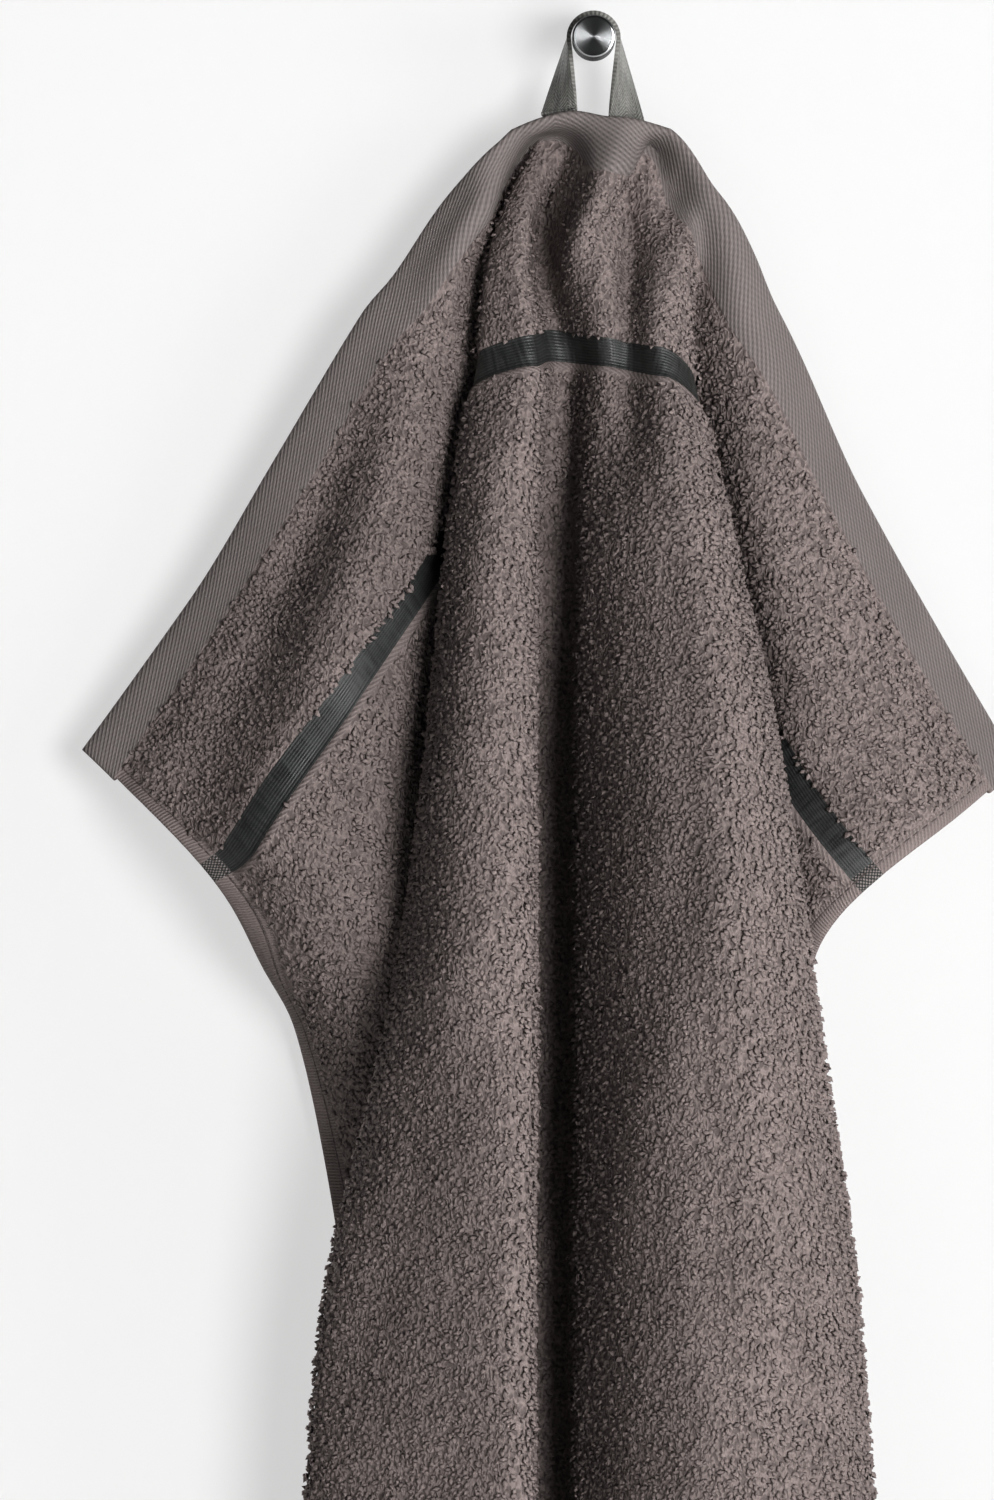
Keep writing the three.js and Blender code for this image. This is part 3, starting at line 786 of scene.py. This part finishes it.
def edge_lines():
    """Distances from a side edge at which a line of points is needed, up to where the pile stands."""
    groove = STITCH_FROM_EDGE + GROOVE_STEP * np.array([-3, -1, 0, 1])
    steps = [SIDE_FOLD, SIDE_FOLD + HEM_STEP, SIDE_HEM, SIDE_HEM + PILE_SLOPE]
    return np.concatenate([EDGE_LINES, [EDGE_ROUND], groove, steps])


def column_lines():
    """Places across the cloth, closer together near the middle, where the folds are tight at the top."""
    left = edge_lines() - LEFT_HALF
    right = RIGHT_HALF - edge_lines()[::-1]
    inner = [0.0]
    while inner[-1] < LEFT_HALF:
        inner.append(inner[-1] + COLUMN_STEP + COLUMN_GROWTH * smoothstep(*COLUMNS_GROW, inner[-1]))
    inner = np.array(inner)
    inner = np.concatenate([-inner[:0:-1], inner])
    return np.concatenate([left, inner[(inner > left[-1] + 1) & (inner < right[0] - 1)], right])


def row_lines():
    """Places down the cloth, with lines along the hems and the stripe."""
    return np.concatenate([
        EDGE_LINES,
        spaced(EDGE_ROUND, TOP_HEM - HEM_STEP, ROW_STEP),
        [TOP_HEM, TOP_HEM + HEM_STEP],
        spaced(TOP_HEM + PILE_SLOPE, STRIPE_TOP - PILE_SLOPE, ROW_STEP),
        spaced(STRIPE_TOP, STRIPE_BOTTOM, ROW_STEP),
        STRIPE_BOTTOM + PILE_SLOPE * np.array([0.3, 0.6, 1.0]),
        spaced(STRIPE_BOTTOM + STRIPE_RIM, LOW_HEM - PILE_SLOPE, LOW_ROW_STEP),
        [LOW_HEM - HEM_STEP, LOW_HEM],
        spaced(LOW_HEM + HEM_STEP, LENGTH - EDGE_ROUND, ROW_STEP),
        LENGTH - EDGE_LINES[::-1]])


def from_sides(u):
    """Distance in from the nearer side edge."""
    return np.minimum(u + LEFT_HALF, RIGHT_HALF - u)


def stepped_in(u, v):
    """u, with the side hems a little narrower than the folded ends of the top and bottom hems."""
    below_top = smoothstep(TOP_HEM, TOP_HEM + HEM_STEP, v)
    between = below_top * smoothstep(0, HEM_STEP, LOW_HEM - v)
    share = np.clip(1 - from_sides(u) / SIDE_HEM, 0, 1)
    return u - np.sign(u) * SIDE_STEP_IN * between * share


def open_share(u, v):
    """0 where the folds are squeezed together near the tip, and 1 where they are open."""
    return smoothstep(SQUEEZED_REACH, OPEN_REACH, np.hypot(u, v + RISE))


def half_thickness(u, v):
    """Half the thickness of the cloth at a place, without its loops."""
    inward = from_sides(u)
    ground = SQUEEZED_HALF + (GROUND_HALF - SQUEEZED_HALF) * open_share(u, v)
    in_stripe = (v > STRIPE_TOP - ON_LINE) & (v < STRIPE_BOTTOM + ON_LINE)
    woven = np.where(in_stripe, STRIPE_HALF, WOVEN_HALF)
    from_stripe = np.maximum(STRIPE_TOP - v, v - STRIPE_BOTTOM)
    from_woven = np.minimum.reduce([v - TOP_HEM, LOW_HEM - v, inward - SIDE_HEM, from_stripe])
    half = woven + (ground - woven) * np.sqrt(np.clip(from_woven / PILE_SLOPE, 0, 1))
    stitched = np.exp(-((inward - STITCH_FROM_EDGE) / GROOVE_WIDTH) ** 2)
    fold = FOLD_HALF * (1 - GROOVE_DEPTH * stitched)
    half = np.where(inward <= SIDE_FOLD + ON_LINE, fold, half)
    in_hem = (v <= TOP_HEM + ON_LINE) | (v >= LOW_HEM - ON_LINE)
    half = np.where(in_hem, HEM_HALF, half)
    from_edge = np.minimum.reduce([inward, v, LENGTH - v])
    inside = np.clip(from_edge / EDGE_ROUND, 0, 1)
    return half * np.sqrt(1 - (1 - inside) ** 2)


TERRY, HEM, SELVEDGE_AND_LIT_RIM, STRIPE, STRIPE_END = range(5)


def cloth_kind(u, v):
    """Which of the towel's materials a face has, from its middle."""
    in_stripe = (v > STRIPE_TOP) & (v < STRIPE_BOTTOM)
    at_side = from_sides(u) < SIDE_HEM
    in_hem = (v < TOP_HEM) | (v > LOW_HEM)
    # Below the stripe a narrow rim gets the side hems' lighter weave in place of terry: painted light on
    # the pile's upward-facing edge.
    in_lit_rim = (v > STRIPE_BOTTOM) & (v < STRIPE_BOTTOM + STRIPE_RIM)
    kind = np.where(at_side | in_lit_rim, SELVEDGE_AND_LIT_RIM, TERRY)
    kind = np.where(in_stripe, np.where(at_side, STRIPE_END, STRIPE), kind)
    return np.where(in_hem, HEM, kind)


def towel_mesh():
    """Two grids, one for each face of the cloth, joined along the edges where they meet."""
    columns = column_lines()
    rows = row_lines()
    bm = bmesh.new()
    across_layer = bm.verts.layers.float.new("across")
    down_layer = bm.verts.layers.float.new("down")
    for face_side in (1, -1):
        made = new_grid(bm, len(columns), len(rows))
        column, row = grid_places(made, len(columns), len(rows))
        u = columns[column]
        v = rows[row]
        points = stand_off(stepped_in(u, v), v, face_side * half_thickness(u, v)) * MM
        for vert, point, across, down in zip(made, points, u, v):
            vert.co = point
            vert[across_layer] = across
            vert[down_layer] = down
        if face_side < 0:
            behind = list({face for vert in made for face in vert.link_faces})
            bmesh.ops.reverse_faces(bm, faces=behind)
    rim = [vert for vert in bm.verts if vert.is_boundary]
    bmesh.ops.remove_doubles(bm, verts=rim, dist=MERGED_WITHIN)
    return mesh_from(bm, "terry_towel")


def lay_flat_map(mesh):
    """Gives the towel its UV map, the flat place in metres, and each face its material."""
    place = np.empty((2, len(mesh.vertices)), np.float32)
    mesh.attributes["across"].data.foreach_get("value", place[0])
    mesh.attributes["down"].data.foreach_get("value", place[1])
    corner = np.empty(len(mesh.loops), int)
    mesh.loops.foreach_get("vertex_index", corner)
    flat = (place + [[LEFT_HALF], [0]])[:, corner].T * MM
    layer = mesh.uv_layers.new(name="flat")
    layer.uv.foreach_set("vector", flat.astype(np.float32).ravel())
    middle = place[:, corner].reshape(2, len(mesh.polygons), 4).mean(axis=2)
    mesh.polygons.foreach_set("material_index", cloth_kind(*middle))


def make_towel():
    mesh = towel_mesh()
    materials = [
        terry_ground_material(), hem_material(), side_hem_and_lit_rim_material(), satin_material(),
        stripe_end_material()]
    towel = new_piece("terry_towel", mesh, materials)
    lay_flat_map(mesh)
    return finish_piece(towel)


def loop_places(pitch):
    """Uneven rows of places for terry loops: everywhere but on the hems and the stripe."""
    across = np.arange(-LEFT_HALF, RIGHT_HALF, pitch)
    down = np.arange(0, LENGTH, pitch)
    u, v = np.meshgrid(across, down)
    u[1::2] += pitch / 2
    u = (u + chance.uniform(-LOOP_JITTER, LOOP_JITTER, u.shape) * pitch).ravel()
    v = (v + chance.uniform(-LOOP_JITTER, LOOP_JITTER, v.shape) * pitch).ravel()
    in_stripe = (v > STRIPE_TOP - LOOPS_ABOVE_STRIPE) & (v < STRIPE_BOTTOM + LOOPS_BELOW_STRIPE)
    in_hem = (v < TOP_HEM + LOOPS_FROM_HEM) | (v > LOW_HEM - LOOPS_FROM_HEM)
    standing = ~in_stripe & ~in_hem & (from_sides(u) > SIDE_HEM + LOOPS_FROM_SIDE)
    return u[standing], v[standing]


def make_loops(face_name, face_side, pitch, fullness, material):
    """The terry loops of one face, each a small leaning lump, in pieces of a size that exports whole."""
    u, v = loop_places(pitch)
    count = len(u)
    across, down, out = cloth_axes(u, v)
    out = out * face_side
    lean = chance.normal(*LOOP_LEAN, count)[:, None]
    turn = chance.normal(*LOOP_TURN, count)[:, None]
    along = unit(down * np.cos(turn) + across * np.sin(turn))
    axis = unit(out * np.cos(lean) + along * np.sin(lean))
    wide = unit(np.cross(axis, along + out * LOOP_SLANT))
    thick = np.cross(axis, wide)
    opened = LOOP_SQUEEZED + (1 - LOOP_SQUEEZED) * open_share(u, v)
    size = opened * fullness * chance.uniform(*LOOP_SIZES, count)
    half_length = (LOOP_LENGTH / 2 * size * chance.uniform(*LOOP_LENGTHS, count))[:, None]
    radius = (LOOP_RADIUS * size)[:, None]
    root = stand_off(u, v, face_side * (half_thickness(u, v) - LOOP_SUNK))
    middle = root + axis * half_length
    axes = np.stack([wide * radius * LOOP_WIDE, thick * radius * LOOP_THICK, axis * half_length], axis=1)
    points, faces = small_shape(sides=3, rings=2)
    heights = (points[:, 2] + 1) / 2
    points[heights == 0.5, 2] += LOOP_BELLY
    # Painted shade deepest at each loop's root, fading towards its tip, on a colour value that differs at
    # random.
    tones_and_shade = chance.normal(0.0, TONE_SPREAD, count)[:, None] + SHADED_ROOT_TONE + SHADE_FADE_TO_TIP * heights[None]
    order = np.argsort(v, kind="stable")
    pieces = []
    for number, part in enumerate(np.array_split(order, math.ceil(count / LOOPS_A_PIECE)), 1):
        name = f"terry_loops_{face_name}_{number}"
        mesh = joined_shapes(name, points, faces, middle[part], axes[part], tones_and_shade[part], out[part])
        pieces.append(finish_piece(new_piece(name, mesh, [material])))
    return pieces


def make_stitches(material):
    """A row of stitches along each side hem, on both faces."""
    v = np.arange(TOP_HEM + STITCH_FROM_HEM, LOW_HEM - STITCH_FROM_HEM, STITCH_PITCH)
    points, faces = small_shape(sides=5, rings=3)
    places = []
    axes = []
    facing = []
    for edge, inward in ((-LEFT_HALF, 1), (RIGHT_HALF, -1)):
        u = np.full_like(v, edge + inward * STITCH_FROM_EDGE)
        across, down, out = cloth_axes(u, v)
        for face_side in (1, -1):
            height = face_side * (half_thickness(u, v) + STITCH_STAND)
            places.append(stand_off(stepped_in(u, v), v, height))
            thick = out * STITCH_RADIUS * STITCH_FLATTENED
            axes.append(np.stack([across * STITCH_RADIUS, thick, down * STITCH_LENGTH / 2], axis=1))
            facing.append(out * face_side)
    places = np.concatenate(places)
    tones_and_shade = np.full((len(places), len(points)), STITCH_TONE)
    mesh = joined_shapes(
        "hem_stitches", points, faces, places, np.concatenate(axes), tones_and_shade, np.concatenate(facing))
    return finish_piece(new_piece("hem_stitches", mesh, [material]))


# Hanging loop

def sewn_sections(place, outward):
    """The end of one leg, sewn flat to the back of the hem, up to the top edge: centres and directions
    across. It clears the cloth under it and a little to both sides."""
    v = np.linspace(SEWN_LENGTH, 0, SEWN_ROWS)
    columns = place + outward * TAPE_WIDTH * SEWN_SHARES
    under = np.stack([drape(np.full_like(v, u), v) for u in columns])
    front = under[1]
    back = under[-2]
    middle = (front + back) / 2
    rearward = -cloth_axes(np.full_like(v, place), v)[2]
    rearmost = ((under - middle) * rearward).sum(axis=2).max(axis=0)
    stand = rearmost + HEM_HALF + SEWN_GAP + TAPE_SOLID_THICK / 2
    return middle + rearward * stand[:, None], unit(back - front)


def leg_sections(sewn, outward):
    """The free part of one leg, up to the peg: its front edge is straight, and the rest turns about it
    so that the leg's sides look straight from the front."""
    bottom_across = sewn[1][-1]
    bottom_edge = sewn[0][-1] - bottom_across * TAPE_WIDTH / 2
    top_edge = np.array([outward * TAPE_AROUND, -TAPE_OUT - TAPE_WIDTH / 2, 0.0])
    share = np.linspace(0, 1, LEG_ROWS + 2)[1:-1]
    x = bottom_across[0] * (1 - share)
    z = bottom_across[2] * (1 - share)
    across = np.stack([x, np.sqrt(1 - x * x - z * z), z], axis=1)
    return bottom_edge + (top_edge - bottom_edge) * share[:, None] + across * TAPE_WIDTH / 2, across


def over_peg():
    """The half turn over the peg, from its left side to its right."""
    angle = np.linspace(math.pi, 0, PEG_ROWS)
    x = TAPE_AROUND * np.cos(angle)
    z = TAPE_AROUND * np.sin(angle)
    centres = np.stack([x, np.full_like(angle, -TAPE_OUT), z], axis=1)
    return centres, np.tile([0.0, 1.0, 0.0], (len(angle), 1))


def tape_material():
    """Narrow herringbone tape: the slant of its ribs changes over at each quarter of its width."""
    material, tree = new_material("tape_herringbone")
    place = flat_place(tree)
    parts = split(tree, place)
    folded = calculate(tree, "PINGPONG", parts["X"], TAPE_WIDTH / 4)
    mirrored = flat_vector(tree, folded, parts["Y"])
    height = ribs(tree, mirrored, pitch=1.3, slant=1.4, thread_pitch=0.8)
    drawn = vector_math(tree, "MULTIPLY", place, TAPE_STREAK_STRETCH)
    # Painted shade in the hollows between the ribs; the streaks along the tape are its yarn's own
    # unevenness.
    yarn_colour_shaded = yarn_colour_and_shade(tree, TAPE_GREY, drawn, height, hollow=0.4, uneven=1.1)
    off_middle = calculate(tree, "SUBTRACT", parts["X"], TAPE_WIDTH / 2)
    rough = add_node(tree, "ShaderNodeMapRange", {
        "Value": calculate(tree, "ABSOLUTE", off_middle), "From Min": 0.0, "From Max": TAPE_WIDTH / 2,
        "To Min": 0.7, "To Max": 0.85})[0]
    cloth_surface(tree, yarn_colour_shaded, bump(tree, height, depth=0.3), roughness=rough, specular=0.3)
    return material


def make_tape():
    left = sewn_sections(LEFT_END, -1)
    right = sewn_sections(RIGHT_END, 1)
    left_leg = leg_sections(left, -1)
    right_leg = leg_sections(right, 1)
    runs = [left, left_leg, over_peg(), [x[::-1] for x in right_leg], [x[::-1] for x in right]]
    centres = np.concatenate([run[0] for run in runs])
    across = np.concatenate([run[1] for run in runs])
    along = run_lengths(centres)
    bm = bmesh.new()
    made = new_grid(bm, TAPE_COLUMNS, len(along))
    column, row = grid_places(made, TAPE_COLUMNS, len(along))
    share = column / (TAPE_COLUMNS - 1)
    points = centres[row] + across[row] * ((share - 0.5) * TAPE_WIDTH)[:, None]
    uv_layer = bm.loops.layers.uv.new("flat")
    for vert, point, wide, down in zip(made, points, share * TAPE_WIDTH, along[row]):
        vert.co = point * MM
        for corner in vert.link_loops:
            corner[uv_layer].uv = (wide * MM, down * MM)
    tape = new_piece("loop_tape", mesh_from(bm, "loop_tape"), [tape_material()])
    thick = tape.modifiers.new("thickness", "SOLIDIFY")
    thick.thickness = TAPE_THICK * MM
    thick.offset = 0
    rounded = tape.modifiers.new("rounded edges", "BEVEL")
    rounded.width = TAPE_ROUND * MM
    rounded.segments = 2
    rounded.limit_method = "ANGLE"
    return finish_piece(tape), along[-1] * MM


# Peg

def steel_material():
    """Turned steel: fine rings about the peg's axis stretch the reflections across them."""
    material, tree = new_material("turned_steel")
    parts = split(tree, object_place(tree))
    flat = flat_vector(tree, parts["X"], parts["Z"])
    radius = add_node(tree, "ShaderNodeVectorMath", {0: flat}, operation="LENGTH")["Value"]
    marks = noise(tree, flat_vector(tree, radius, parts["Y"]), scale=6.0, detail=3.0)
    rough = add_node(tree, "ShaderNodeMapRange", {
        "Value": marks, "From Min": 0.3, "From Max": 0.7, "To Min": 0.13, "To Max": 0.18})[0]
    tint = mix_colours(tree, marks, STEEL_DARK, STEEL_PALE)
    turned = add_node(tree, "ShaderNodeTangent", direction_type="RADIAL", axis="Y")[0]
    surface(tree, {
        "Base Color": tint, "Metallic": 1.0, "Roughness": rough, "Anisotropic": 0.85,
        "Anisotropic Rotation": 0.25, "Tangent": turned})
    return material


def make_peg():
    """A profile from the back end's middle to the free end's middle, spun about the peg's axis."""
    bm = bmesh.new()
    corner = [math.radians(a) for a in (0, 22.5, 45, 67.5, 90)]
    front = -PEG_LENGTH + PEG_CHAMFER
    inner = PEG_RADIUS - PEG_CHAMFER
    arc = [(inner + PEG_CHAMFER * math.cos(a), front - PEG_CHAMFER * math.sin(a)) for a in corner]
    ring_steps = [(inner * share, -PEG_LENGTH) for share in (0.97, 0.8, 0.4, 0.0)]
    profile = [(0, 0), (PEG_RADIUS * 0.94, 0), (PEG_RADIUS, -0.4), (PEG_RADIUS, -1.2), *arc, *ring_steps]
    chain = [bm.verts.new((radius * MM, y * MM, 0)) for radius, y in profile]
    edges = [bm.edges.new(pair) for pair in zip(chain, chain[1:])]
    bmesh.ops.spin(
        bm, geom=chain + edges, axis=(0, 1, 0), cent=(0, 0, 0), angle=2 * math.pi, steps=PEG_SIDES,
        use_merge=True)
    bmesh.ops.remove_doubles(bm, verts=bm.verts, dist=MERGED_WITHIN)
    bmesh.ops.recalc_face_normals(bm, faces=bm.faces)
    peg = new_piece("turned_peg", mesh_from(bm, "turned_peg"), [steel_material()])
    return finish_piece(peg)


# Stage, light and camera

PHOTO_WIDTH = 994
PHOTO_HEIGHT = 1500
MM_A_PIXEL = 0.3
PEG_PIXEL = (594, 35)
CAMERA_DISTANCE = 9.0
CLOTH_FRONT = 0.06
WALL_PAINT = (0.21, 0.21, 0.21, 1)
WALL_GLOW = 0.625
FLOOR_PAINT = (0.85, 0.85, 0.84, 1)
FLOOR_GLOW = 0.25
CONTRAST_GAMMA = 0.8
BACKDROP_GLOW = 0.75
WORLD_LIGHT = 0.03
WHITE = (1, 1, 1, 1)
STAGE_HALF = 4.0
WALL_PLACE = (0, 0.0005, 0.4)
FLOOR_PLACE = (0, 0, -0.86)
UPRIGHT = (math.radians(90), 0, 0)
LIGHT_TARGET = (-0.03, -0.03, -0.22)
LIGHTS = {
    "key": {"place": (1.4, -3.6, -0.12), "size": 1.5, "power": 165},
    "side": {"place": (3.2, -1.9, -0.12), "size": 1.5, "power": 55},
    "fill": {"place": (-1.3, -3.8, -0.2), "size": 2.0, "power": 14},
    "left behind": {"place": (-1.8, 2.6, 0.5), "size": 1.5, "power": 100},
    "right behind": {"place": (1.8, 2.6, 0.5), "size": 1.5, "power": 100},
}


def stage_plane(name, place, turn, material):
    bm = bmesh.new()
    bmesh.ops.create_grid(bm, x_segments=1, y_segments=1, size=STAGE_HALF)
    plane = new_piece(name, mesh_from(bm, name), [material])
    plane.rotation_euler = turn
    plane.location = place
    return plane


def backdrop_shaders(tree, paint, glow):
    """Paint, and a glow that the camera alone sees, so that a pale stage leaves the folds dark."""
    painted = add_node(tree, "ShaderNodeBsdfDiffuse", {"Color": paint})[0]
    seen = add_node(tree, "ShaderNodeLightPath")["Is Camera Ray"]
    glowing = add_node(tree, "ShaderNodeEmission", {
        "Color": WHITE, "Strength": calculate(tree, "MULTIPLY", seen, glow)})[0]
    return {0: painted, 1: glowing}


def wall_material():
    """Pale wall that can be seen from the room only, so that the towel shows from behind too."""
    material, tree = new_material("pale_wall")
    lit = add_node(tree, "ShaderNodeAddShader", backdrop_shaders(tree, WALL_PAINT, WALL_GLOW))[0]
    clear = add_node(tree, "ShaderNodeBsdfTransparent")[0]
    behind = add_node(tree, "ShaderNodeNewGeometry")["Backfacing"]
    surface(tree, {0: behind, 1: lit, 2: clear}, "ShaderNodeMixShader")
    return material


def floor_material():
    material, tree = new_material("pale_floor")
    surface(tree, backdrop_shaders(tree, FLOOR_PAINT, FLOOR_GLOW), "ShaderNodeAddShader")
    return material


def make_stage():
    wall = stage_plane("wall", WALL_PLACE, UPRIGHT, wall_material())
    wall.visible_shadow = False
    stage_plane("floor", FLOOR_PLACE, (0, 0, 0), floor_material())


def soft_light(name, place, size, power):
    light = bpy.data.lights.new(name, "AREA")
    light.shape = "DISK"
    light.size = size
    light.energy = power
    lamp = add_object(name, light)
    lamp.location = place
    lamp.rotation_euler = (Vector(LIGHT_TARGET) - Vector(place)).to_track_quat("-Z", "Y").to_euler()


def pale_world():
    """A backdrop that looks pale behind the object and adds little light, so that the folds stay dark."""
    world = bpy.data.worlds.new("studio")
    world.use_nodes = True
    tree = world.node_tree
    seen = add_node(tree, "ShaderNodeLightPath")["Is Camera Ray"]
    strength = calculate(tree, "ADD", calculate(tree, "MULTIPLY", seen, BACKDROP_GLOW), WORLD_LIGHT)
    background = tree.nodes["Background"]
    background.inputs["Color"].default_value = WHITE
    tree.links.new(strength, background.inputs["Strength"])
    return world


def make_light():
    scene = bpy.context.scene
    scene.view_settings.view_transform = "Standard"
    scene.view_settings.gamma = CONTRAST_GAMMA
    scene.world = pale_world()
    for name, light in LIGHTS.items():
        soft_light(name, **light)


def make_camera():
    """Level and square to the wall, with the photograph's frame at the depth of the cloth's front."""
    data = bpy.data.cameras.new("camera")
    camera = add_object("camera", data)
    x = (PHOTO_WIDTH / 2 - PEG_PIXEL[0]) * MM_A_PIXEL * MM
    z = (PEG_PIXEL[1] - PHOTO_HEIGHT / 2) * MM_A_PIXEL * MM
    camera.location = (x, -CLOTH_FRONT - CAMERA_DISTANCE, z)
    camera.rotation_euler = UPRIGHT
    data.lens = data.sensor_width * CAMERA_DISTANCE / (PHOTO_HEIGHT * MM_A_PIXEL * MM)
    bpy.context.scene.camera = camera


make_camera()
make_stage()
towel = make_towel()
loop_material = terry_loop_material()
loops = make_loops("front", 1, FRONT_PITCH, FRONT_FULLNESS, loop_material)
loops += make_loops("back", -1, BACK_PITCH, BACK_FULLNESS, loop_material)
stitches = make_stitches(loop_material)
tape, tape_length = make_tape()
peg = make_peg()
make_light()
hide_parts("towel")
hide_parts("hanging_loop")
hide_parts("peg")
